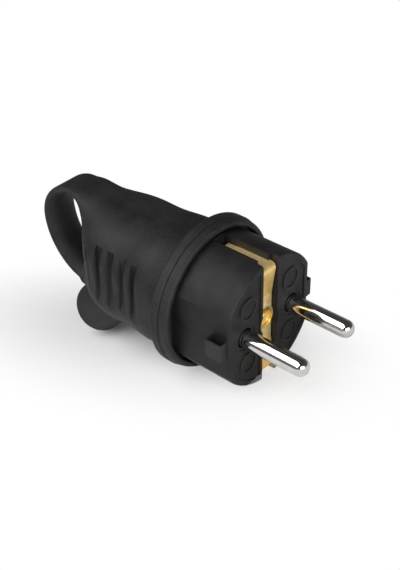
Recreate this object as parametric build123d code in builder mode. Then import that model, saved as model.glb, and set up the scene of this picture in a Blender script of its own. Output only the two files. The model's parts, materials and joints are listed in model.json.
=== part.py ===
from build123d import *
from math import cos, pi
import os

# Angled rubber earthed plug with a finger loop, in millimetres. X runs along the pins and
# out of the contact face, Z is up, and the origin is the middle of the contact face.
# The cable gland points down and back.

os.makedirs("parts", exist_ok=True)

# Clearances between pieces
slip = 0.05          # radial, between a turned piece and its moulded hole
seat = 0.1           # between moulded pieces that sit against one another

# Pins, to the standard sizes of a two-pin earthed plug
pin_d = 4.8
pin_reach = 19.0
pin_pitch = 19.0
pin_root = 0.3        # how much thicker a pin is inside the carrier
pin_collar_r = 4.2
pin_collar_t = 1.5
barrel_r = 3.4
wire_hole_r = 1.6

# Contact carrier
face_r = 18.7
flat_half = 16.2
insert_len = 16.8     # contact face to the front of the cover's lip
lip_gap_depth = 2.6   # how deep the gap round the carrier is
flange_lap = 0.7      # how far the flange reaches behind the lip
flange_t = 2.2
face_round = 0.8
panel_rim = 1.0       # border left round each half of the face
panel_depth = 0.3
ring_r = 3.2
ring_w = 0.5
ring_y = 8.6
ring_z = 8.6
pin_dish_r = 3.6
pin_dish_depth = 0.5
key_len = 5.0
key_half_h = 2.6
key_reach = 2.4
key_wall = 0.5
recess_r = 14.2       # hollow behind the face, for the terminals
recess_x = -14.5

# Earth strap, and the channels it lies in
strap_t = 0.9
run_w = 5.4
run_deep = 1.6        # front run below the face, in the middle
run_edge = 0.3        # and at the top and bottom edges
run_crease = 7.0      # height of the bend between them
boss_r = 3.5
leg_w = 3.6
leg_z = 16.6          # contact faces above and below the axis
leg_len = 15.0
side_gap = 0.2        # beside the strap
bend_r = 1.1

# Earth post, and its tubular end that is rolled over the strap
post_r = 3.2
tube_r = 2.15
tube_hole_r = 1.75
tube_hole_len = 6.0
tube_stand = 0.6

# Terminal screws
barrel_end = -29.0
screw_x = -26.0
screw_r = 1.5
screw_head_r = 2.3
screw_head_t = 1.6
screw_slot_w = 0.7
screw_slot_d = 0.7

# Pin retainer, with the saddle of the cord clamp
retainer_t = 2.5
retainer_screw_z = 10.9
retainer_screw_len = 6.0
saddle_end = -43.0
saddle_half_w = 7.0
saddle_top = -4.6
saddle_t = 3.0
clamp_gap = 9.0       # cord space between saddle and clamp bar
clamp_t = 2.6
clamp_len = 6.0
clamp_screw_y = 5.4
clamp_screw_r = 1.1
clamp_head_r = 1.6

# Rubber cover: collar
lip_gap = 0.8         # gap between the carrier and the lip
lip_w = 0.7
collar_len = 5.4
collar_wall = 1.3     # rubber round the carrier's flange
collar_band_x = 3.2   # lip to the line round the collar
collar_line = 0.3
collar_round = 1.2

# Rubber cover: grip, round at the collar, flat-sided at the waist, narrow at the tail
grip_r = 17.8
grip_flat = 2.5       # half of the flat left at each side of the round end
grip_drop = 1.0       # the grip sits a little below the pin axis
waist_x = -49.5
waist_half_w = 15.2
waist_half_h = 17.3
waist_drop = 1.5      # and sinks towards the waist
waist_round = 12.5
tail_x = -66.0
tail_half_w = 6.0
tail_round = 2.0
tail_step = 0.3       # how far the tail stands above and below the loop
front_steps = 4       # sections from the collar to the waist
back_steps = 4        # and from the waist to the tail

# Rubber cover: finger loop
loop_x = -67.0        # middle of the loop's round back
loop_z = 3.0
loop_r = 12.9
loop_foot_z = -15.6   # underside of the loop
loop_root_x = -62.0   # where the loop's band ends inside the grip
loop_half_w = 5.5
loop_t = 3.3
loop_round = 1.4
hole_front_x = -59.0
hole_lean = 14.0      # the hole's front edge leans forward at the top
hole_corner_top = 6.0
hole_corner_foot = 2.5

# Rubber cover: grip grooves
groove_count = 5
groove_pitch = 4.6
groove_w = 2.4
groove_x = -53.2       # rear wall of the groove next to the loop
groove_half_h = 9.6
groove_depth = 1.8

# Rubber cover: cable gland
gland_tilt = 45.0     # back from straight down
gland_x = -66.1       # middle of the gland's mouth
gland_z = -28.1
gland_r = 7.9
gland_round = 1.2
gland_len = 20.0
cable_r = 5.0
throat_r = 6.2
mouth_len = 13.0

# Rubber cover: hollow
hollow_r = 14.3
hollow_end = -31.0
duct_r = 10.5
duct_x = -34.5
duct_end = -50.0

# Places worked out from the sizes above
lip_r = face_r + lip_gap
flange_r = lip_r + flange_lap
collar_r = flange_r + seat + collar_wall
lip_x = -insert_len
flange_x = lip_x - lip_gap_depth
carrier_end = flange_x - flange_t
collar_end = lip_x - collar_len
pin_y = pin_pitch / 2
run_mid_x = -run_deep
loop_foot_x = loop_x - loop_r + loop_z - loop_foot_z
tail_half_h = (loop_z + loop_r - loop_foot_z) / 2 + tail_step
tail_middle = (loop_z + loop_r + loop_foot_z) / 2
gland_plane = Plane(
    origin=(gland_x, 0, gland_z),
    x_dir=(0, 1, 0),
    z_dir=Vector(0, 0, 1).rotate(Axis.Y, gland_tilt),
)

# Finger loop: a flat band bent round the hole
with BuildSketch(Plane.XZ) as loop_outline:
    with BuildLine():
        loop_top = (loop_x, loop_z + loop_r)
        loop_back = (loop_x - loop_r, loop_z)
        diagonal = loop_r * 0.5 ** 0.5
        Line((waist_x, loop_top[1]), loop_top)
        ThreePointArc(loop_top, (loop_x - diagonal, loop_z + diagonal), loop_back)
        TangentArc(loop_back, (loop_foot_x, loop_foot_z), tangent=(0, -1))
        Line((loop_foot_x, loop_foot_z), (waist_x, loop_foot_z))
        Line((waist_x, loop_foot_z), (waist_x, loop_top[1]))
    make_face()

with BuildSketch(Plane.XZ) as finger_hole:
    add(loop_outline.sketch_local)
    offset(amount=-loop_t, mode=Mode.REPLACE)
    with Locations((hole_front_x, loop_z)):
        Rectangle(
            4 * loop_r, 4 * loop_r, rotation=-hole_lean, align=(Align.MAX, Align.CENTER),
            mode=Mode.INTERSECT,
        )
    fillet(finger_hole.vertices().sort_by(Axis.X)[-1], hole_corner_top)
    fillet(finger_hole.vertices().group_by(Axis.Y)[0].sort_by(Axis.X)[-1], hole_corner_foot)

with BuildPart() as loop_band:
    with BuildSketch(Plane.XZ.offset(-loop_half_w)):
        add(loop_outline.sketch_local)
        with Locations((loop_root_x, loop_z)):
            Rectangle(
                4 * loop_r, 4 * loop_r, align=(Align.MAX, Align.CENTER), mode=Mode.INTERSECT
            )
    extrude(amount=2 * loop_half_w)
    side_edges = loop_band.faces().filter_by(Axis.Y).edges()
    fillet([edge for edge in side_edges if edge.center().X < loop_root_x - seat], loop_round)

# Gland: a short round spout
with BuildPart() as gland:
    with BuildSketch(gland_plane):
        Circle(gland_r)
    extrude(amount=gland_len)
    fillet(gland.faces().sort_by(Axis.Z)[0].edges(), gland_round)

# Rubber cover: collar, grip, loop and gland in one moulding
with BuildPart() as rubber_cover:
    for step in range(front_steps):
        away = (1 - step / front_steps) ** 2
        half_w = waist_half_w + away * (grip_r - waist_half_w)
        half_h = waist_half_h + away * (grip_r - waist_half_h)
        corner = waist_round + away * (grip_r - grip_flat - waist_round)
        drop = waist_drop + away * (grip_drop - waist_drop)
        station_x = collar_end + (waist_x - collar_end) * step / front_steps
        with BuildSketch(Plane.YZ.offset(station_x)):
            with Locations((0, -drop)):
                RectangleRounded(2 * half_w, 2 * half_h, corner)
    for step in range(back_steps + 1):
        done = (1 - cos(pi * step / back_steps)) / 2
        half_w = waist_half_w + done * (tail_half_w - waist_half_w)
        half_h = waist_half_h + done * (tail_half_h - waist_half_h)
        middle = -waist_drop + done * (tail_middle + waist_drop)
        corner = waist_round + done ** 1.5 * (tail_round - waist_round)
        station_x = waist_x + (tail_x - waist_x) * step / back_steps
        with BuildSketch(Plane.YZ.offset(station_x)):
            with Locations((0, middle)):
                RectangleRounded(2 * half_w, 2 * half_h, corner)
    loft()
    add(loop_band.part)
    add(gland.part)
    # Collar, turned about the pin axis
    with BuildSketch(Plane.XY) as collar_profile:
        with BuildLine():
            band_x = lip_x - collar_band_x
            line_x = band_x - collar_line
            front_r = collar_r - collar_line
            Line((lip_x, 0), (lip_x, lip_r + lip_w))
            ThreePointArc(
                (lip_x, lip_r + lip_w),
                (lip_x - collar_band_x * 0.35, (lip_r + lip_w) * 0.3 + front_r * 0.7),
                (band_x, front_r),
            )
            Line((band_x, front_r), (line_x, front_r - collar_line))
            Line((line_x, front_r - collar_line), (line_x - collar_line / 2, collar_r))
            Line((line_x - collar_line / 2, collar_r), (collar_end + collar_round, collar_r))
            ThreePointArc(
                (collar_end + collar_round, collar_r),
                (collar_end + collar_round * 0.29, collar_r - collar_round * 0.29),
                (collar_end, collar_r - collar_round),
            )
            Line((collar_end, collar_r - collar_round), (collar_end, 0))
            Line((collar_end, 0), (lip_x, 0))
        make_face()
    revolve(axis=Axis.X)
    # Finger hole through the loop
    with BuildSketch(Plane.XZ):
        add(finger_hole.sketch_local)
    extrude(amount=2 * waist_half_w, both=True, mode=Mode.SUBTRACT)
    # Grip grooves on both sides, fading out at their lower ends
    for groove in range(groove_count):
        rear_x = groove_x + groove * groove_pitch
        away = max((rear_x - waist_x) / (collar_end - waist_x), 0) ** 2
        side = waist_half_w + away * (grip_r - waist_half_w)
        with BuildSketch(Plane.YZ.offset(rear_x)):
            with BuildLine():
                Polyline(
                    (side - groove_depth, groove_half_h),
                    (2 * side, groove_half_h),
                    (2 * side, -groove_half_h),
                    (side, -groove_half_h),
                    close=True,
                )
            make_face()
            mirror(about=Plane.YZ)
        extrude(amount=groove_w, mode=Mode.SUBTRACT)
    # Hollow for the carrier, its terminals and the cord
    with BuildSketch(Plane.XY):
        with BuildLine():
            Polyline(
                (lip_x + seat, 0),
                (lip_x + seat, lip_r),
                (flange_x + seat, lip_r),
                (flange_x + seat, flange_r + seat),
                (carrier_end, flange_r + seat),
                (carrier_end, hollow_r),
                (hollow_end, hollow_r),
                (duct_x, duct_r),
                (duct_end, duct_r),
                (duct_end, 0),
                close=True,
            )
        make_face()
    revolve(axis=Axis.X, mode=Mode.SUBTRACT)
    # Cable way through the gland
    with BuildSketch(gland_plane):
        Circle(cable_r)
    extrude(amount=gland_len, mode=Mode.SUBTRACT)
    with BuildSketch(gland_plane.offset(mouth_len)):
        Circle(throat_r)
    extrude(amount=gland_len, mode=Mode.SUBTRACT)
rubber_cover.part.label = "rubber_cover"
export_step(rubber_cover.part, "parts/rubber_cover.step")

# Contact carrier: the moulded block that holds the pins and the strap
with BuildPart() as contact_carrier:
    with BuildSketch(Plane.YZ) as face_outline:
        Circle(face_r)
        Rectangle(2 * flat_half, 2 * flange_r, mode=Mode.INTERSECT)
    extrude(amount=flange_x)
    fillet(contact_carrier.faces().sort_by(Axis.X)[-1].edges(), face_round)
    with BuildSketch(Plane.YZ.offset(flange_x)):
        Circle(flange_r)
    extrude(amount=-flange_t)
    # Keys on the two flats, each with a pocket in its top
    with BuildSketch(Plane.YZ.offset(-face_round)):
        with Locations((flat_half, 0), (-flat_half, 0)):
            Rectangle(2 * key_reach, 2 * key_half_h)
    extrude(amount=-key_len)
    with BuildSketch(Plane.XY.offset(key_half_h)):
        pocket_x = -face_round - key_len / 2
        pocket_y = flat_half + (key_reach - key_wall) / 2
        with Locations((pocket_x, pocket_y), (pocket_x, -pocket_y)):
            Rectangle(key_len - 2 * key_wall, key_reach - key_wall)
    extrude(amount=-key_half_h, mode=Mode.SUBTRACT)
    # Recessed panels with plain rings
    with BuildSketch(Plane.YZ):
        Circle(face_r - panel_rim - face_round)
        Rectangle(2 * (flat_half - panel_rim - face_round), 2 * face_r, mode=Mode.INTERSECT)
        Rectangle(run_w + 2 * side_gap + 2 * panel_rim, 2 * face_r, mode=Mode.SUBTRACT)
        with Locations(
            (ring_y, ring_z), (-ring_y, ring_z), (ring_y, -ring_z), (-ring_y, -ring_z)
        ):
            Circle(ring_r, mode=Mode.SUBTRACT)
            Circle(ring_r - ring_w)
    extrude(amount=-panel_depth, mode=Mode.SUBTRACT)
    # Channel across the face for the strap's front run
    with BuildSketch(Plane.YZ):
        Rectangle(run_w + 2 * side_gap, 2 * flange_r)
    extrude(amount=run_mid_x - strap_t, mode=Mode.SUBTRACT)
    with BuildSketch(Plane.YZ):
        Circle(boss_r + side_gap)
    extrude(amount=run_mid_x - strap_t, mode=Mode.SUBTRACT)
    # Slots along the top and the bottom for the strap's legs
    with BuildSketch(Plane.YZ):
        with Locations((0, leg_z - strap_t), (0, strap_t - leg_z)):
            Rectangle(leg_w + 2 * side_gap, face_r)
        Rectangle(face_r, 2 * (leg_z - strap_t), mode=Mode.SUBTRACT)
    extrude(amount=lip_x, mode=Mode.SUBTRACT)
    # Hollow behind the face
    with BuildSketch(Plane.YZ.offset(recess_x - pin_collar_t)):
        Circle(recess_r)
    extrude(amount=carrier_end - recess_x + pin_collar_t, mode=Mode.SUBTRACT)
    # Pin holes and the seats of the pin collars
    with BuildSketch(Plane.YZ):
        with Locations((pin_y, 0), (-pin_y, 0)):
            Circle(pin_d / 2 + pin_root + slip)
        Circle(tube_r + slip)
    extrude(amount=carrier_end, mode=Mode.SUBTRACT)
    with BuildSketch(Plane.YZ):
        with Locations((pin_y, 0), (-pin_y, 0)):
            Circle(pin_dish_r)
    extrude(amount=-pin_dish_depth, mode=Mode.SUBTRACT)
    with BuildSketch(Plane.YZ.offset(recess_x)):
        with Locations((pin_y, 0), (-pin_y, 0), (0, 0)):
            Circle(pin_collar_r + slip)
    extrude(amount=-pin_collar_t, mode=Mode.SUBTRACT)
    # Holes for the retainer screws
    with BuildSketch(Plane.YZ.offset(recess_x - pin_collar_t)):
        with Locations((0, retainer_screw_z), (0, -retainer_screw_z)):
            Circle(screw_r + slip)
    extrude(amount=retainer_screw_len, mode=Mode.SUBTRACT)
contact_carrier.part.label = "contact_carrier"
export_step(contact_carrier.part, "parts/contact_carrier.step")

# One turned pin: round nose, collar, and a barrel that takes the wire
with BuildPart() as pin_form:
    with BuildSketch(Plane.XY):
        with BuildLine():
            nose = pin_reach - pin_d / 2
            nose_mid = pin_d / 2 * 0.5 ** 0.5
            Line((barrel_end, 0), (barrel_end, barrel_r))
            Line((barrel_end, barrel_r), (recess_x - pin_collar_t, barrel_r))
            Line((recess_x - pin_collar_t, barrel_r), (recess_x - pin_collar_t, pin_collar_r))
            Line((recess_x - pin_collar_t, pin_collar_r), (recess_x, pin_collar_r))
            Line((recess_x, pin_collar_r), (recess_x, pin_d / 2 + pin_root))
            Line((recess_x, pin_d / 2 + pin_root), (0, pin_d / 2 + pin_root))
            Line((0, pin_d / 2 + pin_root), (0, pin_d / 2))
            Line((0, pin_d / 2), (nose, pin_d / 2))
            ThreePointArc((nose, pin_d / 2), (nose + nose_mid, nose_mid), (pin_reach, 0))
            Line((pin_reach, 0), (barrel_end, 0))
        make_face()
    revolve(axis=Axis.X)
    with BuildSketch(Plane.YZ.offset(barrel_end)):
        Circle(wire_hole_r)
    extrude(amount=screw_x - barrel_end + 2 * screw_r, mode=Mode.SUBTRACT)
    with BuildSketch(Plane.XY):
        with Locations((screw_x, 0)):
            Circle(screw_r + slip)
    extrude(amount=barrel_r, mode=Mode.SUBTRACT)

with BuildPart() as left_pin:
    with Locations((0, -pin_y, 0)):
        add(pin_form.part)
left_pin.part.label = "left_pin"
export_step(left_pin.part, "parts/left_pin.step")

with BuildPart() as right_pin:
    with Locations((0, pin_y, 0)):
        add(pin_form.part)
right_pin.part.label = "right_pin"
export_step(right_pin.part, "parts/right_pin.step")

# Earth strap: one strip bent round the carrier
with BuildPart() as earth_strap:
    with BuildSketch(Plane.XZ):
        with BuildLine():
            half = strap_t / 2
            FilletPolyline(
                (-leg_len, leg_z - half),
                (-run_edge - half, leg_z - half),
                (run_mid_x - half, run_crease),
                (run_mid_x - half, -run_crease),
                (-run_edge - half, half - leg_z),
                (-leg_len, half - leg_z),
                radius=bend_r,
            )
        trace(line_width=strap_t)
    extrude(amount=run_w / 2, both=True)
    with BuildSketch(Plane.XY):
        with Locations((run_mid_x - strap_t + side_gap, 0)):
            Rectangle(leg_len, 2 * run_w, align=(Align.MAX, Align.CENTER))
            Rectangle(leg_len, leg_w, align=(Align.MAX, Align.CENTER), mode=Mode.SUBTRACT)
    extrude(amount=2 * leg_z, both=True, mode=Mode.SUBTRACT)
    with BuildSketch(Plane.YZ.offset(run_mid_x)):
        Circle(boss_r)
    extrude(amount=-strap_t)
    with BuildSketch(Plane.YZ.offset(run_mid_x)):
        Circle(tube_r + slip)
    extrude(amount=-strap_t, mode=Mode.SUBTRACT)
earth_strap.part.label = "earth_strap"
export_step(earth_strap.part, "parts/earth_strap.step")

# Earth post: barrel behind, tube in front that is rolled over the strap
with BuildPart() as earth_post:
    with BuildSketch(Plane.XY):
        with BuildLine():
            rim_r = tube_r + tube_stand / 2
            Polyline(
                (barrel_end, 0),
                (barrel_end, post_r),
                (recess_x - pin_collar_t, post_r),
                (recess_x - pin_collar_t, pin_collar_r),
                (recess_x, pin_collar_r),
                (recess_x, tube_r),
                (run_mid_x, tube_r),
                (run_mid_x, rim_r),
                (run_mid_x + tube_stand * 0.6, rim_r),
                (run_mid_x + tube_stand, tube_r),
                (run_mid_x + tube_stand, tube_hole_r),
                (run_mid_x - tube_hole_len, tube_hole_r),
                (run_mid_x - tube_hole_len, 0),
                close=True,
            )
        make_face()
    revolve(axis=Axis.X)
    with BuildSketch(Plane.YZ.offset(barrel_end)):
        Circle(wire_hole_r)
    extrude(amount=screw_x - barrel_end + 2 * screw_r, mode=Mode.SUBTRACT)
    with BuildSketch(Plane.XY):
        with Locations((screw_x, 0)):
            Circle(screw_r + slip)
    extrude(amount=post_r, mode=Mode.SUBTRACT)
earth_post.part.label = "earth_post"
export_step(earth_post.part, "parts/earth_post.step")

# One terminal screw: shank, round head and a driver slot
with BuildPart() as terminal_screw_form:
    with BuildSketch(Plane.XY.offset(wire_hole_r / 2)):
        with Locations((screw_x, 0)):
            Circle(screw_r)
    extrude(amount=barrel_r + seat - wire_hole_r / 2)
    with BuildSketch(Plane.XY.offset(barrel_r + seat)):
        with Locations((screw_x, 0)):
            Circle(screw_head_r)
    extrude(amount=screw_head_t)
    with BuildSketch(Plane.XY.offset(barrel_r + seat + screw_head_t)):
        with Locations((screw_x, 0)):
            Rectangle(3 * screw_head_r, screw_slot_w)
    extrude(amount=-screw_slot_d, mode=Mode.SUBTRACT)

with BuildPart() as left_terminal_screw:
    with Locations((0, -pin_y, 0)):
        add(terminal_screw_form.part)
left_terminal_screw.part.label = "left_terminal_screw"
export_step(left_terminal_screw.part, "parts/left_terminal_screw.step")

with BuildPart() as right_terminal_screw:
    with Locations((0, pin_y, 0)):
        add(terminal_screw_form.part)
right_terminal_screw.part.label = "right_terminal_screw"
export_step(right_terminal_screw.part, "parts/right_terminal_screw.step")

with BuildPart() as earth_terminal_screw:
    add(terminal_screw_form.part)
earth_terminal_screw.part.label = "earth_terminal_screw"
export_step(earth_terminal_screw.part, "parts/earth_terminal_screw.step")

# Pin retainer: plate behind the pin collars, with the saddle for the cord
with BuildPart() as pin_retainer:
    plate_x = recess_x - pin_collar_t
    with BuildSketch(Plane.YZ.offset(plate_x)):
        Circle(recess_r - seat)
        with Locations((pin_y, 0), (-pin_y, 0)):
            Circle(barrel_r + slip, mode=Mode.SUBTRACT)
        Circle(post_r + slip, mode=Mode.SUBTRACT)
        with Locations((0, retainer_screw_z), (0, -retainer_screw_z)):
            Circle(screw_r + slip, mode=Mode.SUBTRACT)
    extrude(amount=-retainer_t)
    with BuildSketch(Plane.YZ.offset(plate_x - retainer_t)):
        with Locations((0, saddle_top - saddle_t / 2)):
            Rectangle(2 * saddle_half_w, saddle_t)
    extrude(amount=saddle_end - plate_x + retainer_t)
    with BuildSketch(Plane.XY.offset(saddle_top)):
        with Locations(
            (saddle_end + clamp_len / 2, clamp_screw_y), (saddle_end + clamp_len / 2, -clamp_screw_y)
        ):
            Circle(clamp_screw_r + slip)
    extrude(amount=-saddle_t, mode=Mode.SUBTRACT)
pin_retainer.part.label = "pin_retainer"
export_step(pin_retainer.part, "parts/pin_retainer.step")

# Retainer screws, driven from behind
with BuildPart() as retainer_screw_form:
    with BuildSketch(Plane.YZ.offset(plate_x - retainer_t)):
        Circle(screw_r)
    extrude(amount=retainer_t + retainer_screw_len - seat)
    with BuildSketch(Plane.YZ.offset(plate_x - retainer_t)):
        Circle(screw_head_r)
    extrude(amount=-screw_head_t)
    with BuildSketch(Plane.YZ.offset(plate_x - retainer_t - screw_head_t)):
        Rectangle(3 * screw_head_r, screw_slot_w)
    extrude(amount=screw_slot_d, mode=Mode.SUBTRACT)

with BuildPart() as upper_retainer_screw:
    with Locations((0, 0, retainer_screw_z)):
        add(retainer_screw_form.part)
upper_retainer_screw.part.label = "upper_retainer_screw"
export_step(upper_retainer_screw.part, "parts/upper_retainer_screw.step")

with BuildPart() as lower_retainer_screw:
    with Locations((0, 0, -retainer_screw_z)):
        add(retainer_screw_form.part)
lower_retainer_screw.part.label = "lower_retainer_screw"
export_step(lower_retainer_screw.part, "parts/lower_retainer_screw.step")

# Cord clamp: a bar that is screwed down on the cord
with BuildPart() as cord_clamp:
    with BuildSketch(Plane.XY.offset(saddle_top + clamp_gap)):
        with Locations((saddle_end + clamp_len / 2, 0)):
            Rectangle(clamp_len, 2 * saddle_half_w)
        with Locations(
            (saddle_end + clamp_len / 2, clamp_screw_y), (saddle_end + clamp_len / 2, -clamp_screw_y)
        ):
            Circle(clamp_screw_r + slip, mode=Mode.SUBTRACT)
    extrude(amount=clamp_t)
    fillet(cord_clamp.edges().filter_by(Axis.X).group_by(Axis.Z)[-1], clamp_t / 3)
cord_clamp.part.label = "cord_clamp"
export_step(cord_clamp.part, "parts/cord_clamp.step")

with BuildPart() as clamp_screw_form:
    clamp_top = saddle_top + clamp_gap + clamp_t
    with BuildSketch(Plane.XY.offset(saddle_top - saddle_t)):
        with Locations((saddle_end + clamp_len / 2, 0)):
            Circle(clamp_screw_r)
    extrude(amount=clamp_top - saddle_top + saddle_t)
    with BuildSketch(Plane.XY.offset(clamp_top)):
        with Locations((saddle_end + clamp_len / 2, 0)):
            Circle(clamp_head_r)
    extrude(amount=screw_head_t / 2)

with BuildPart() as left_clamp_screw:
    with Locations((0, -clamp_screw_y, 0)):
        add(clamp_screw_form.part)
left_clamp_screw.part.label = "left_clamp_screw"
export_step(left_clamp_screw.part, "parts/left_clamp_screw.step")

with BuildPart() as right_clamp_screw:
    with Locations((0, clamp_screw_y, 0)):
        add(clamp_screw_form.part)
right_clamp_screw.part.label = "right_clamp_screw"
export_step(right_clamp_screw.part, "parts/right_clamp_screw.step")
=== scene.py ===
import bmesh
import bpy
import json
import math
from mathutils import Matrix, Vector
from mathutils.bvhtree import BVHTree
from mathutils.kdtree import KDTree


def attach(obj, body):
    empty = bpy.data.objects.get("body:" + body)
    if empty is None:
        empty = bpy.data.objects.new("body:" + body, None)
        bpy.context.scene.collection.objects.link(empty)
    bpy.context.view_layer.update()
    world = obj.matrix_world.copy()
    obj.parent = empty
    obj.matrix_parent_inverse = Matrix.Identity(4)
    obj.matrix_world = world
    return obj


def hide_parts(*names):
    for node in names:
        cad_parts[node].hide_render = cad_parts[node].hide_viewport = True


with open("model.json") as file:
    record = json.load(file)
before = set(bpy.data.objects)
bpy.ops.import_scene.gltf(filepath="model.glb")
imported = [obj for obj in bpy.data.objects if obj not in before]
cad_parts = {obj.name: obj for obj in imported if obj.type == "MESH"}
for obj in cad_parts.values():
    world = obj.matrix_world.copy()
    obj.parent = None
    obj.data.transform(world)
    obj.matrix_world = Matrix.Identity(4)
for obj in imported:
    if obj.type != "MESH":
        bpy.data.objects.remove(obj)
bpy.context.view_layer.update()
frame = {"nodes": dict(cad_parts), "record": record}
nodes = frame["nodes"]

MM = 0.001

# Sizes of the solids, in millimetres
pin_r = 2.4
pin_root_r = 2.7
pin_reach = 19.0
pin_y = 9.5
barrel_r = 3.4
barrel_end = -29.0
seat_back = -16.0
seat_front = -14.5
seat_r = 4.2
post_r = 3.2
tube_r = 2.15
tube_hole_r = 1.75
tube_hole_end = -7.6
strap_t = 0.9
strap_front = -1.6
strap_edge_x = -0.75
strap_leg_z = 16.15
strap_leg_end = -15.0
strap_crease_z = 7.0
strap_bend_r = 1.1
run_half_w = 2.7
leg_half_w = 1.8
eye_r = 3.5
lip_x = -16.8
lip_r = 19.5
flange_front = -19.3
flange_back = -21.6
flange_r = 20.3
collar_back = -22.2
loop_x = -67.0
loop_z = 3.0
loop_r = 12.9
loop_foot_z = -15.6
loop_half_w = 5.5
hole_front_x = -59.0
hole_lean = math.tan(math.radians(14.0))

# Angles above which an edge stays sharp
solid_crease = math.radians(28)
turned_crease = math.radians(35)
strap_crease = math.radians(40)
loop_crease = math.radians(50)
grip_crease = math.radians(24)

WHITE = (1.0, 1.0, 1.0, 1.0)


def link(obj):
    bpy.context.scene.collection.objects.link(obj)
    return obj


# Shader groups
noise_detail = {"Cloud": 3.0, "Grain": 4.0}
noise_roughness = 0.6
rubbed_from = 0.53     # pointiness at which an edge begins to look rubbed
rubbed_full = 0.62


def surface_texture_group():
    """Fine grain, broad cloud and the bumps of both, at the scales and depths that are put in."""
    group = bpy.data.node_groups.new("surface_texture", "ShaderNodeTree")
    for name in ("Grain Scale", "Grain Depth", "Cloud Scale", "Cloud Depth"):
        group.interface.new_socket(name, in_out="INPUT", socket_type="NodeSocketFloat")
    group.interface.new_socket("Normal", in_out="INPUT", socket_type="NodeSocketVector")
    group.interface.new_socket("Grain", in_out="OUTPUT", socket_type="NodeSocketFloat")
    group.interface.new_socket("Cloud", in_out="OUTPUT", socket_type="NodeSocketFloat")
    group.interface.new_socket("Normal", in_out="OUTPUT", socket_type="NodeSocketVector")
    tree = group.nodes
    wires = group.links
    begin = tree.new("NodeGroupInput")
    end = tree.new("NodeGroupOutput")
    place = tree.new("ShaderNodeTexCoord")
    normal = begin.outputs["Normal"]
    for name, detail in noise_detail.items():
        noise = tree.new("ShaderNodeTexNoise")
        noise.inputs["Detail"].default_value = detail
        noise.inputs["Roughness"].default_value = noise_roughness
        bump = tree.new("ShaderNodeBump")
        wires.new(place.outputs["Object"], noise.inputs["Vector"])
        wires.new(begin.outputs[name + " Scale"], noise.inputs["Scale"])
        wires.new(begin.outputs[name + " Depth"], bump.inputs["Distance"])
        wires.new(noise.outputs["Fac"], bump.inputs["Height"])
        wires.new(normal, bump.inputs["Normal"])
        normal = bump.outputs["Normal"]
        wires.new(noise.outputs["Fac"], end.inputs[name])
    wires.new(normal, end.inputs["Normal"])
    return group


def rubbed_edge_group():
    """Mask of the edges that hands and sockets rub, broken up by noise."""
    group = bpy.data.node_groups.new("rubbed_edge", "ShaderNodeTree")
    group.interface.new_socket("Break Up", in_out="INPUT", socket_type="NodeSocketFloat")
    group.interface.new_socket("Mask", in_out="OUTPUT", socket_type="NodeSocketFloat")
    tree = group.nodes
    wires = group.links
    begin = tree.new("NodeGroupInput")
    end = tree.new("NodeGroupOutput")
    shape = tree.new("ShaderNodeNewGeometry")
    edge = tree.new("ShaderNodeMapRange")
    edge.inputs["From Min"].default_value = rubbed_from
    edge.inputs["From Max"].default_value = rubbed_full
    broken = tree.new("ShaderNodeMath")
    broken.operation = "MULTIPLY"
    wires.new(shape.outputs["Pointiness"], edge.inputs["Value"])
    wires.new(edge.outputs["Result"], broken.inputs[0])
    wires.new(begin.outputs["Break Up"], broken.inputs[1])
    wires.new(broken.outputs["Value"], end.inputs["Mask"])
    return group


surface_texture = surface_texture_group()
rubbed_edge = rubbed_edge_group()

# Materials
tone_range = (0.82, 1.18)      # sum of grain and cloud that goes from the dark to the light tone
rough_range = (0.3, 0.7)       # grain that goes from the low to the high roughness
bevel_samples = 6


def blank_material(name, roughness, metallic=0.0):
    material = bpy.data.materials.new(name)
    material.use_nodes = True
    shader = material.node_tree.nodes["Principled BSDF"]
    shader.inputs["Roughness"].default_value = roughness
    shader.inputs["Metallic"].default_value = metallic
    return material, material.node_tree.nodes, material.node_tree.links, shader


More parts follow.
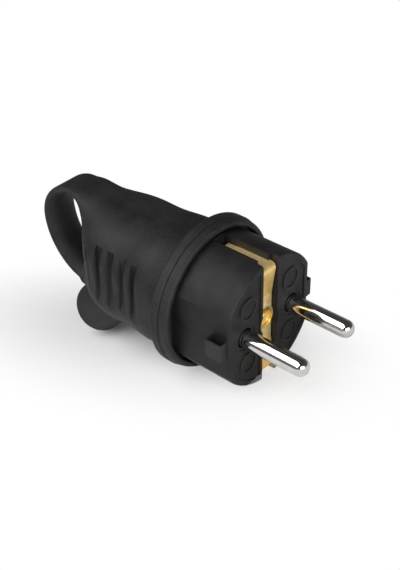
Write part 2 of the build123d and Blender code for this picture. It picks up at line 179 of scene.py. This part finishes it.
def finish(name, dark, light, worn, roughness, grain, cloud, edge, metallic=0.0, specular=0.5):
    """Finish whose tone follows the cloud and the grain, lighter where its edges are rubbed.

    Roughness is a low and a high value; grain and cloud are each a scale and a depth;
    edge is the radius that sharp edges seem to have, in millimetres, 0 where they are shaped.
    """
    material, tree, wires, shader = blank_material(name, roughness[0], metallic)
    material.diffuse_color = (*light, 1.0)
    shader.inputs["Specular IOR Level"].default_value = specular
    surface = tree.new("ShaderNodeGroup")
    surface.node_tree = surface_texture
    surface.inputs["Grain Scale"].default_value = grain[0]
    surface.inputs["Grain Depth"].default_value = grain[1]
    surface.inputs["Cloud Scale"].default_value = cloud[0]
    surface.inputs["Cloud Depth"].default_value = cloud[1]
    if edge:
        bevel = tree.new("ShaderNodeBevel")
        bevel.samples = bevel_samples
        bevel.inputs["Radius"].default_value = edge * MM
        wires.new(bevel.outputs["Normal"], surface.inputs["Normal"])
    else:
        shape = tree.new("ShaderNodeNewGeometry")
        wires.new(shape.outputs["Normal"], surface.inputs["Normal"])
    both = tree.new("ShaderNodeMath")
    both.operation = "ADD"
    wires.new(surface.outputs["Grain"], both.inputs[0])
    wires.new(surface.outputs["Cloud"], both.inputs[1])
    tone = tree.new("ShaderNodeMapRange")
    tone.inputs["From Min"].default_value = tone_range[0]
    tone.inputs["From Max"].default_value = tone_range[1]
    wires.new(both.outputs["Value"], tone.inputs["Value"])
    colour = tree.new("ShaderNodeMix")
    colour.data_type = "RGBA"
    colour.inputs["A"].default_value = (*dark, 1.0)
    colour.inputs["B"].default_value = (*light, 1.0)
    wires.new(tone.outputs["Result"], colour.inputs["Factor"])
    edges = tree.new("ShaderNodeGroup")
    edges.node_tree = rubbed_edge
    wires.new(surface.outputs["Grain"], edges.inputs["Break Up"])
    rubbed = tree.new("ShaderNodeMix")
    rubbed.data_type = "RGBA"
    rubbed.inputs["B"].default_value = (*worn, 1.0)
    wires.new(edges.outputs["Mask"], rubbed.inputs["Factor"])
    wires.new(colour.outputs["Result"], rubbed.inputs["A"])
    rough = tree.new("ShaderNodeMapRange")
    rough.inputs["From Min"].default_value = rough_range[0]
    rough.inputs["From Max"].default_value = rough_range[1]
    rough.inputs["To Min"].default_value = roughness[0]
    rough.inputs["To Max"].default_value = roughness[1]
    wires.new(surface.outputs["Grain"], rough.inputs["Value"])
    wires.new(rubbed.outputs["Result"], shader.inputs["Base Color"])
    wires.new(rough.outputs["Result"], shader.inputs["Roughness"])
    wires.new(surface.outputs["Normal"], shader.inputs["Normal"])
    return material


def grey(value, warmth=0.0):
    return (value * (1 + warmth), value, value * (1 - warmth))


plastic_grain = (3600.0, 0.00002)
plastic_cloud = (220.0, 0.00002)
polished_grain = (900.0, 0.0000003)
nickel_cloud = (200.0, 0.0000003)
brass_cloud = (240.0, 0.0000003)

slot_material = {
    "cover_rubber": finish(
        "cover_rubber_grain", dark=grey(0.008), light=grey(0.018), worn=grey(0.040),
        roughness=(0.50, 0.68), grain=(2400.0, 0.00006), cloud=(150.0, 0.00004), edge=0.15,
        specular=0.32,
    ),
    "carrier_plastic": finish(
        "carrier_plastic_grain", dark=grey(0.007), light=grey(0.014), worn=grey(0.036),
        roughness=(0.44, 0.58), grain=plastic_grain, cloud=plastic_cloud, edge=0.15,
        specular=0.25,
    ),
    "pin_nickel": finish(
        "pin_nickel_polished", dark=grey(0.72, 0.02), light=grey(0.80, 0.02), worn=grey(0.86, 0.02),
        roughness=(0.07, 0.11), grain=polished_grain, cloud=nickel_cloud, edge=0.0,
        metallic=1.0,
    ),
    "strap_brass": finish(
        "strap_brass_satin", dark=(0.90, 0.54, 0.13), light=(1.00, 0.68, 0.21), worn=(1.00, 0.86, 0.52),
        roughness=(0.28, 0.38), grain=polished_grain, cloud=brass_cloud, edge=0.0,
        metallic=0.7, specular=0.3,
    ),
    "post_brass": finish(
        "post_brass_satin", dark=(0.86, 0.50, 0.05), light=(0.95, 0.60, 0.09), worn=(0.96, 0.74, 0.26),
        roughness=(0.20, 0.30), grain=polished_grain, cloud=brass_cloud, edge=0.0,
        metallic=0.7,
    ),
    "screw_steel": finish(
        "screw_steel_satin", dark=grey(0.55), light=grey(0.66), worn=grey(0.74),
        roughness=(0.25, 0.38), grain=(900.0, 0.000002), cloud=(240.0, 0.000003), edge=0.1,
        metallic=1.0,
    ),
    "retainer_plastic": finish(
        "retainer_plastic_satin", dark=grey(0.09), light=grey(0.11), worn=grey(0.14),
        roughness=(0.40, 0.52), grain=plastic_grain, cloud=plastic_cloud, edge=0.2,
    ),
}

for part in frame["record"]["subparts"]:
    mesh = nodes[part["node"]].data
    mesh.materials.clear()
    mesh.materials.append(slot_material[part["material_slot"]])
    mesh.shade_smooth()
    mesh.set_sharp_from_angle(angle=solid_crease)


# Shape helpers, which take sizes in millimetres
weld = 0.001 * MM              # points of a solid that lie closer than this are one
cut_slack = 1e-7
smooth_share = 0.5             # how far one round of smoothing moves a point
sharp_turn = math.radians(40)  # edges of a solid that turn by more are rounded
front_fade = (0.3, 2.0)        # distances behind the front cut over which a change sets in


def step(value, start, stop):
    """Smooth step from 0 at start to 1 at stop."""
    t = min(1.0, max(0.0, (value - start) / (stop - start)))
    return t * t * (3 - 2 * t)


def between(value, limits):
    return limits[0] < value < limits[1]


def dress(piece, slot, node=None):
    """Gives the piece its finish and lets it ride on the plug, in place of a solid if one is named."""
    piece.data.materials.clear()
    piece.data.materials.append(slot_material[slot])
    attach(piece, "root")
    if node:
        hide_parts(node)


def apply_modifiers(piece):
    graph = bpy.context.evaluated_depsgraph_get()
    made = bpy.data.meshes.new_from_object(piece.evaluated_get(graph))
    piece.modifiers.clear()
    piece.data = made


def add_smoothing(piece, rounds):
    smooth = piece.modifiers.new("smooth", "SMOOTH")
    smooth.factor = smooth_share
    smooth.iterations = rounds
    return smooth


def softened(name, node, voxel, rounds):
    """Copy of a solid with its sharp edges rounded off as a mould leaves them."""
    piece = link(bpy.data.objects.new(name, nodes[node].data.copy()))
    remesh = piece.modifiers.new("remesh", "REMESH")
    remesh.mode = "VOXEL"
    remesh.voxel_size = voxel * MM
    add_smoothing(piece, rounds)
    apply_modifiers(piece)
    return piece


def smooth_group(piece, group, rounds):
    """Smooths the points of one vertex group, each by its share, and drops the group."""
    add_smoothing(piece, rounds).vertex_group = group.name
    apply_modifiers(piece)
    piece.vertex_groups.clear()


def sharp_edge_points(node, wanted, spacing=0.25):
    """Points along a solid's sharp edges, where wanted says so."""
    solid = bmesh.new()
    solid.from_mesh(nodes[node].data)
    bmesh.ops.remove_doubles(solid, verts=solid.verts, dist=weld)
    points = []
    for edge in solid.edges:
        start, stop = (vert.co / MM for vert in edge.verts)
        if not wanted((start + stop) / 2) or len(edge.link_faces) != 2:
            continue
        if edge.calc_face_angle() > sharp_turn:
            steps = max(1, math.ceil((stop - start).length / spacing))
            points.extend(start.lerp(stop, i / steps) for i in range(steps + 1))
    solid.free()
    return points


def round_near(piece, points, full, reach, rounds, front):
    """Rounds the piece off near the points: fully within one distance, fading to nothing at another.

    It fades out towards front as well, so that the cut there still meets its neighbour.
    """
    tree = KDTree(len(points))
    for i, point in enumerate(points):
        tree.insert(point, i)
    tree.balance()
    group = piece.vertex_groups.new(name="rounded")
    for vert in piece.data.vertices:
        away = tree.find(vert.co / MM)[2]
        if away < reach:
            share = min(1.0, (reach - away) / (reach - full)) * step(front - vert.co.x / MM, *front_fade)
            group.add([vert.index], share, "REPLACE")
    smooth_group(piece, group, rounds)


def cut_across(piece, x, side, closed=True):
    """Cuts off what lies before (side 1) or behind (side -1) a plane across the pins."""
    body = bmesh.new()
    body.from_mesh(piece.data)
    bmesh.ops.remove_doubles(body, verts=body.verts, dist=weld)
    cut = bmesh.ops.bisect_plane(
        body, geom=body.verts[:] + body.edges[:] + body.faces[:], dist=cut_slack,
        plane_co=(x * MM, 0, 0), plane_no=(side, 0, 0), clear_outer=True,
    )
    if closed:
        rim = [item for item in cut["geom_cut"] if isinstance(item, bmesh.types.BMEdge)]
        bmesh.ops.triangle_fill(body, edges=rim, use_beauty=True)
    bmesh.ops.recalc_face_normals(body, faces=body.faces)
    body.to_mesh(piece.data)
    body.free()


def thin_out(piece, keep):
    """Keeps a share of the piece's triangles."""
    thin = piece.modifiers.new("thin", "DECIMATE")
    thin.ratio = keep
    apply_modifiers(piece)
    piece.data.shade_smooth()


def skin(name, rings, ends=True, loop=False):
    """Mesh through a row of rings with the same number of points."""
    verts = [Vector(point) * MM for ring in rings for point in ring]
    count = len(rings[0])
    faces = []
    for row in range(len(rings) if loop else len(rings) - 1):
        near = row * count
        far = (row + 1) % len(rings) * count
        for i in range(count):
            j = (i + 1) % count
            faces.append((near + i, near + j, far + j, far + i))
    if ends:
        faces.append(tuple(range(count - 1, -1, -1)))
        last = (len(rings) - 1) * count
        faces.append(tuple(range(last, last + count)))
    mesh = bpy.data.meshes.new(name)
    mesh.from_pydata(verts, [], faces)
    mesh.validate()
    made = bmesh.new()
    made.from_mesh(mesh)
    bmesh.ops.recalc_face_normals(made, faces=made.faces)
    made.to_mesh(mesh)
    made.free()
    mesh.shade_smooth()
    return mesh


def turned(name, profile, y=0.0, segments=96, ring=False):
    """Turned piece about an axis along X: profile points are (x, radius)."""
    rings = []
    for x, radius in profile:
        turns = (2 * math.pi * i / segments for i in range(segments))
        rings.append([(x, y + radius * math.cos(turn), radius * math.sin(turn)) for turn in turns])
    mesh = skin(name, rings, ends=not ring, loop=ring)
    mesh.set_sharp_from_angle(angle=turned_crease)
    return link(bpy.data.objects.new(name, mesh))


def arc(x, r, wide, high, start, stop, steps):
    """Points (x, radius) on an ellipse round (x, r), angles in degrees from +X."""
    points = []
    for i in range(steps + 1):
        angle = math.radians(start + (stop - start) * i / steps)
        points.append((x + wide * math.cos(angle), r + high * math.sin(angle)))
    return points


def rounded_path(points, radius, steps):
    """Path through points with its corners rounded by arcs."""
    path = [Vector(points[0])]
    for before, corner, after in zip(points, points[1:], points[2:]):
        before, corner, after = Vector(before), Vector(corner), Vector(after)
        back = (before - corner).normalized()
        forth = (after - corner).normalized()
        half = back.angle(forth) / 2
        reach = radius / math.tan(half)
        centre = corner + (back + forth).normalized() * radius / math.sin(half)
        first = corner + back * reach - centre
        last = corner + forth * reach - centre
        for i in range(steps + 1):
            path.append(centre + first.lerp(last, i / steps).normalized() * radius)
    path.append(Vector(points[-1]))
    return path


# Pins, turned, with a round nose
axis_r = 0.05                  # a turned piece's ends close at this radius
barrel_rim_r = 3.2
barrel_bevel = 0.2
pin_step_x = -3.0              # the pin is thicker behind this, out of sight
pin_rows = (4.0, 8.0, 12.0, 15.0, 16.2)
pin_profile = [(barrel_end, axis_r), (barrel_end, barrel_rim_r)]
pin_profile += [(barrel_end + barrel_bevel, barrel_r), (seat_back, barrel_r)]
pin_profile += [(seat_back, seat_r), (seat_front, seat_r), (seat_front, pin_root_r)]
pin_profile += [(pin_step_x, pin_root_r), (pin_step_x, pin_r), (0.0, pin_r)]
pin_profile += [(x, pin_r) for x in pin_rows]
pin_profile += arc(pin_reach - pin_r, 0.0, pin_r, pin_r, start=86.0, stop=1.0, steps=24)
for side, y in (("left", -pin_y), ("right", pin_y)):
    dress(turned(side + "_pin_turned", pin_profile, y), "pin_nickel", side + "_pin")

# Earth post, with its end rolled over the strap
small_segments = 72
roll_r = 0.34
roll_ahead = 0.25
roll_inward = 0.05
post_profile = [(barrel_end, axis_r), (barrel_end, post_r), (seat_back, post_r)]
post_profile += [(seat_back, seat_r), (seat_front, seat_r), (seat_front, tube_r), (strap_front, tube_r)]
post_profile += arc(
    strap_front + roll_ahead, tube_r - roll_inward, roll_r, roll_r, start=120.0, stop=-90.0, steps=18,
)
post_profile += [(strap_front, tube_hole_r), (tube_hole_end, tube_hole_r), (tube_hole_end, axis_r)]
dress(turned("earth_post_rolled", post_profile, segments=small_segments), "post_brass", "earth_post")

# Earth strap: one bent strip with an eye in the middle
leg_start = -2.35              # behind this the strip is as narrow as its legs
strap_edge = 0.14
strap_run_x = strap_front - strap_t / 2
strap_path = rounded_path(
    [
        (strap_leg_end, strap_leg_z), (strap_edge_x, strap_leg_z),
        (strap_run_x, strap_crease_z), (strap_run_x, -strap_crease_z),
        (strap_edge_x, -strap_leg_z), (strap_leg_end, -strap_leg_z),
    ], radius=strap_bend_r, steps=8,
)
strap_rings = []
for i, point in enumerate(strap_path):
    ahead = strap_path[min(i + 1, len(strap_path) - 1)] - strap_path[max(i - 1, 0)]
    out = Vector((ahead.y, -ahead.x)).normalized()
    wide = run_half_w if point.x > leg_start else leg_half_w
    deep = strap_t / 2
    corners = (
        (wide - strap_edge, deep), (wide, deep - strap_edge),
        (wide, strap_edge - deep), (wide - strap_edge, -deep),
        (strap_edge - wide, -deep), (-wide, strap_edge - deep),
        (-wide, deep - strap_edge), (strap_edge - wide, deep),
    )
    places = ((point + out * b, a) for a, b in corners)
    strap_rings.append([(place.x, a, place.y) for place, a in places])
strap_mesh = skin("earth_strap_bent", strap_rings)
strap_mesh.set_sharp_from_angle(angle=strap_crease)
dress(link(bpy.data.objects.new("earth_strap_bent", strap_mesh)), "strap_brass", "earth_strap")
eye_gap = 0.05
eye_back = strap_front - strap_t
eye_profile = [
    (eye_back, tube_r + eye_gap), (eye_back, eye_r - strap_edge), (eye_back + strap_edge, eye_r),
    (strap_front - strap_edge, eye_r), (strap_front, eye_r - strap_edge), (strap_front, tube_r + eye_gap),
]
dress(turned("earth_strap_eye", eye_profile, segments=small_segments, ring=True), "strap_brass")

# Rubber cover: the grip with its loop and gland, and the collar turned in front of it
split_x = -53.6                # the grip in front is cut crisp, the loop and gland behind are rounded
under_r = loop_z - loop_foot_z
under_x = loop_x - loop_r + under_r

# Front wall of the finger hole: it leans more than on the solid
lean_more = 0.25
lean_from_z = -2.8
lean_beside = (0.8, 4.5)       # distances from the wall over which the lean dies out
lean_front = (0.9, 3.6)        # distances behind the split over which it sets in
lean_foot = (-12.5, -9.0)      # heights over which it sets in
lean_top = (3.0, 12.5)         # heights over which it dies out
moved_least = 0.02             # smaller moves need no easing
moved_much = 0.4               # larger moves are eased fully
flank_normal = 0.5             # a flank's normal points sideways by more than this
flank_far = 40.0               # well outside the plug
ease_rounds = 25

# Wall of the loop: it is thinner at its sides
side_thin = 0.6                # share of the wall that the sides lose to their rounding
side_power = 2.5
thin_x = (-66.0, -58.0)        # places along the pins over which the thinning dies out
thin_depth = (3.6, 4.5)        # depths below the outline over which it dies out


def loop_wall(p):
    """Depth of a point below the loop's outer outline, and the way out."""
    if p.z < loop_z:
        spoke = Vector((p.x - under_x, 0.0, p.z - loop_z))
        return under_r - spoke.length, spoke.normalized()
    if p.x < loop_x:
        spoke = Vector((p.x - loop_x, 0.0, p.z - loop_z))
        return loop_r - spoke.length, spoke.normalized()
    return loop_z + loop_r - p.z, Vector((0.0, 0.0, 1.0))


def lean_shift(p):
    """How far the leaning of the hole's front wall moves a point: forward high up, back low down."""
    front = p.x - hole_front_x - (p.z - loop_z) * hole_lean
    beside = (1.0 - step(abs(front), *lean_beside)) * step(split_x - p.x, *lean_front)
    inside = step(p.z, *lean_foot) * (1.0 - step(p.z, *lean_top))
    return lean_more * (p.z - lean_from_z) * beside * inside


def shape_finger_hole(piece):
    """Thins the loop's wall towards its sides and leans the hole's front wall, as a finger needs.

    Points on the flanks slide along them, so that the flanks keep their form.
    """
    flanks = BVHTree.FromPolygons(
        [vert.co / MM for vert in piece.data.vertices], [face.vertices for face in piece.data.polygons],
    )
    sides = [vert.normal.y for vert in piece.data.vertices]
    eased = piece.vertex_groups.new(name="eased")
    for vert, side in zip(piece.data.vertices, sides):
        p = vert.co / MM
        if p.x > split_x or not loop_foot_z < p.z < loop_z + loop_r:
            continue
        move = lean_shift(p)
        p.x += move
        if abs(move) > moved_least and abs(side) > flank_normal:
            way = math.copysign(1.0, p.y)
            hit = flanks.ray_cast(Vector((p.x, flank_far * way, p.z)), Vector((0.0, -way, 0.0)))[0]
            if hit:
                p.y = hit.y
        depth, out = loop_wall(p)
        if 0.0 < depth < thin_depth[1]:
            thin = side_thin * min(1.0, abs(p.y) / loop_half_w) ** side_power * (1.0 - step(p.x, *thin_x))
            p += out * depth * thin * (1.0 - step(depth, *thin_depth))
        vert.co = p * MM
        if abs(move) > moved_least:
            share = min(1.0, abs(move) / moved_much) * step(split_x - p.x, *front_fade)
            eased.add([vert.index], share, "REPLACE")
    smooth_group(piece, eased, ease_rounds)


# Where the solid's sharp edges are rounded
hole_zone_x = -52.0
hole_zone_z = (-13.5, 14.0)
hole_zone_half_w = 9.0
tail_zone_x = (-66.8, -65.2)
tail_zone_z = 10.0
gland_zone_z = (-27.0, -13.5)


def at_hole(p):
    return p.x < hole_zone_x and between(p.z, hole_zone_z) and abs(p.y) < hole_zone_half_w


def at_tail_step(p):
    return between(p.x, tail_zone_x) and p.z > tail_zone_z


def at_gland_crease(p):
    return p.x < split_x and between(p.z, gland_zone_z)


rear = softened("moulded_loop", "rubber_cover", voxel=0.25, rounds=3)
shape_finger_hole(rear)
hole_edges = sharp_edge_points("rubber_cover", at_hole)
for point in hole_edges:
    point.x += lean_shift(point)
round_near(rear, hole_edges, full=0.9, reach=2.4, rounds=30, front=split_x)
tail_step = sharp_edge_points("rubber_cover", at_tail_step)
round_near(rear, tail_step, full=1.2, reach=4.0, rounds=80, front=split_x)
gland_crease = sharp_edge_points("rubber_cover", at_gland_crease)
round_near(rear, gland_crease, full=1.4, reach=3.6, rounds=60, front=split_x)
cut_across(rear, split_x, 1, closed=False)
thin_out(rear, keep=0.35)
rear.data.set_sharp_from_angle(angle=loop_crease)
dress(rear, "cover_rubber", "rubber_cover")

collar_cut = -22.25            # just behind the collar, so that no two faces lie in one plane
grip = link(bpy.data.objects.new("moulded_grip", nodes["rubber_cover"].data.copy()))
cut_across(grip, collar_cut, 1)
cut_across(grip, split_x, -1, closed=False)
grip.data.shade_smooth()
grip.data.set_sharp_from_angle(angle=grip_crease)
dress(grip, "cover_rubber")

# Collar, from the pocket of the carrier's flange over the lip to the back
collar_r = 21.59               # a hair inside the solid's collar
collar_round = 0.6
collar_bore_r = 17.0
pocket_wall = 0.1
lip_round = 0.2
lip_flat = 0.5
bevel_x = -17.9
bevel_r = 21.15
band_x = -19.2                 # front of the fine line round the collar
band_r = 21.35
line_deep = 0.3
line_floor = 0.12              # distances behind the front of the line
line_back = 0.28
line_end = 0.4
line_ease = 0.05
collar_profile = [(flange_back, flange_r), (flange_front, flange_r), (flange_front, lip_r)]
collar_profile += arc(
    lip_x - lip_round, lip_r + lip_round, lip_round, lip_round, start=-90.0, stop=0.0, steps=4,
)
collar_profile += arc(
    bevel_x, lip_r + lip_flat, lip_x - bevel_x, bevel_r - lip_r - lip_flat, start=0.0, stop=82.0, steps=14,
)
collar_profile += [(band_x, band_r), (band_x - line_floor, band_r - line_deep)]
collar_profile += [(band_x - line_back, collar_r - line_ease), (band_x - line_end, collar_r)]
collar_profile += arc(
    collar_back + collar_round, collar_r - collar_round, collar_round, collar_round,
    start=90.0, stop=180.0, steps=10,
)
collar_profile += [(collar_back, collar_bore_r), (flange_back - pocket_wall, collar_bore_r)]
dress(turned("collar_ring", collar_profile, segments=160, ring=True), "cover_rubber")

# Floor: it touches the collar's lowest edge and the gland's lowest edge
collar_foot = Vector((-20.0, 0.0, -21.6)) * MM
gland_foot = Vector((-60.9, 0.0, -33.6)) * MM
along = (collar_foot - gland_foot).normalized()
across = Vector((0.0, 1.0, 0.0))
up = along.cross(across).normalized()
floor_half = 0.6
floor_gap = 0.0002
floor_mesh = bpy.data.meshes.new("floor")
floor_mesh.from_pydata(
    [
        gland_foot + along * a * floor_half + across * b * floor_half - up * floor_gap
        for a, b in ((-1, -1), (1, -1), (1, 1), (-1, 1))
    ], [], [(0, 1, 2, 3)],
)
floor = link(bpy.data.objects.new("floor", floor_mesh))


def floor_with_painted_shadow(tone, roughness, stretch, centre, near, far):
    """White floor that fades into the white room, one-sided so that it hides nothing from below.

    Near centre the floor shows its lit grey, and further out it turns plain white, by the distance from
    centre after the floor's coordinates are times stretch. This is a painted shadow: it sets how far the
    grey round the plug reaches, while the shadows cast on the lit part are real.
    """
    material, tree, wires, shader = blank_material("floor_painted_shadow", roughness)
    shader.inputs["Base Color"].default_value = (tone, tone, tone, 1.0)
    shader.inputs["Specular IOR Level"].default_value = 0.0
    path = tree.new("ShaderNodeLightPath")
    place = tree.new("ShaderNodeTexCoord")
    narrow = tree.new("ShaderNodeVectorMath")
    narrow.operation = "MULTIPLY"
    narrow.inputs[1].default_value = stretch
    wires.new(place.outputs["Object"], narrow.inputs[0])
    away = tree.new("ShaderNodeVectorMath")
    away.operation = "DISTANCE"
    away.inputs[1].default_value = centre
    wires.new(narrow.outputs["Vector"], away.inputs[0])
    # painted shadow: by distance from centre, the lit grey floor gives way to plain white
    painted_shadow_fade = tree.new("ShaderNodeMapRange")
    painted_shadow_fade.interpolation_type = "SMOOTHSTEP"
    painted_shadow_fade.inputs["From Min"].default_value = near
    painted_shadow_fade.inputs["From Max"].default_value = far
    wires.new(away.outputs["Value"], painted_shadow_fade.inputs["Value"])
    seen = tree.new("ShaderNodeMath")
    seen.operation = "MULTIPLY"
    wires.new(painted_shadow_fade.outputs["Result"], seen.inputs[0])
    wires.new(path.outputs["Is Camera Ray"], seen.inputs[1])
    sides = tree.new("ShaderNodeNewGeometry")
    hidden = tree.new("ShaderNodeMath")
    hidden.operation = "MAXIMUM"
    wires.new(seen.outputs["Value"], hidden.inputs[0])
    wires.new(sides.outputs["Backfacing"], hidden.inputs[1])
    clear = tree.new("ShaderNodeBsdfTransparent")
    choice = tree.new("ShaderNodeMixShader")
    wires.new(hidden.outputs["Value"], choice.inputs["Fac"])
    wires.new(shader.outputs["BSDF"], choice.inputs[1])
    wires.new(clear.outputs["BSDF"], choice.inputs[2])
    wires.new(choice.outputs["Shader"], tree["Material Output"].inputs["Surface"])
    return material


# painted shadow: the floor keeps its lit grey within an ellipse round centre and turns white beyond it,
# which sets how far the plug's shadow reaches
floor_mesh.materials.append(floor_with_painted_shadow(
    tone=0.85, roughness=0.9, stretch=(0.75, 2.0, 1.0), centre=(-0.042, 0.0, -0.033), near=0.0, far=0.085,
))

# Light: a room that is white at the horizon and dimmer overhead, seen as plain white, and soft boxes
sky_heights = (0.1, 0.75)      # from the horizon's light to the light overhead
light_aim = Vector((-0.03, 0.0, -0.005))


def room_light(horizon, overhead):
    world = bpy.data.worlds.new("studio")
    bpy.context.scene.world = world
    world.use_nodes = True
    tree = world.node_tree.nodes
    wires = world.node_tree.links
    tree.clear()
    place = tree.new("ShaderNodeTexCoord")
    height = tree.new("ShaderNodeSeparateXYZ")
    level = tree.new("ShaderNodeMapRange")
    level.interpolation_type = "SMOOTHSTEP"
    level.inputs["From Min"].default_value = sky_heights[0]
    level.inputs["From Max"].default_value = sky_heights[1]
    level.inputs["To Min"].default_value = horizon
    level.inputs["To Max"].default_value = overhead
    room = tree.new("ShaderNodeBackground")
    seen = tree.new("ShaderNodeBackground")
    path = tree.new("ShaderNodeLightPath")
    choice = tree.new("ShaderNodeMixShader")
    output = tree.new("ShaderNodeOutputWorld")
    room.inputs["Color"].default_value = WHITE
    seen.inputs["Color"].default_value = WHITE
    seen.inputs["Strength"].default_value = 1.0
    wires.new(place.outputs["Generated"], height.inputs["Vector"])
    wires.new(height.outputs["Z"], level.inputs["Value"])
    wires.new(level.outputs["Result"], room.inputs["Strength"])
    wires.new(path.outputs["Is Camera Ray"], choice.inputs["Fac"])
    wires.new(room.outputs["Background"], choice.inputs[1])
    wires.new(seen.outputs["Background"], choice.inputs[2])
    wires.new(choice.outputs["Shader"], output.inputs["Surface"])


def soft_box(name, place, size, watts):
    data = bpy.data.lights.new(name, "AREA")
    data.shape = "RECTANGLE"
    data.size = size[0]
    data.size_y = size[1]
    data.energy = watts
    lamp = link(bpy.data.objects.new(name, data))
    lamp.location = place
    lamp.rotation_euler = (light_aim - Vector(place)).to_track_quat("-Z", "Y").to_euler()


room_light(horizon=0.15, overhead=0.05)
soft_box("left_wall", place=(-0.24, -0.38, 0.48), size=(0.80, 0.60), watts=4.7)
soft_box("front_box", place=(0.50, -0.20, 0.16), size=(0.40, 0.40), watts=5.0)

# Camera at the photograph's place
camera_data = bpy.data.cameras.new("camera")
camera_data.lens = 63.158
camera_data.sensor_width = 36.0
camera_data.clip_start = 0.01
camera = link(bpy.data.objects.new("camera", camera_data))
right = Vector((0.75242, 0.65826, -0.0235))
down = Vector((0.37776, -0.46047, -0.80328))
ahead = Vector((-0.53959, 0.59553, -0.59513))
pose = Matrix((right, -down, -ahead)).transposed().to_4x4()
pose.translation = Vector((0.121035, -0.159785, 0.159797))
camera.matrix_world = pose
bpy.context.scene.camera = camera
bpy.context.scene.view_settings.view_transform = "Standard"
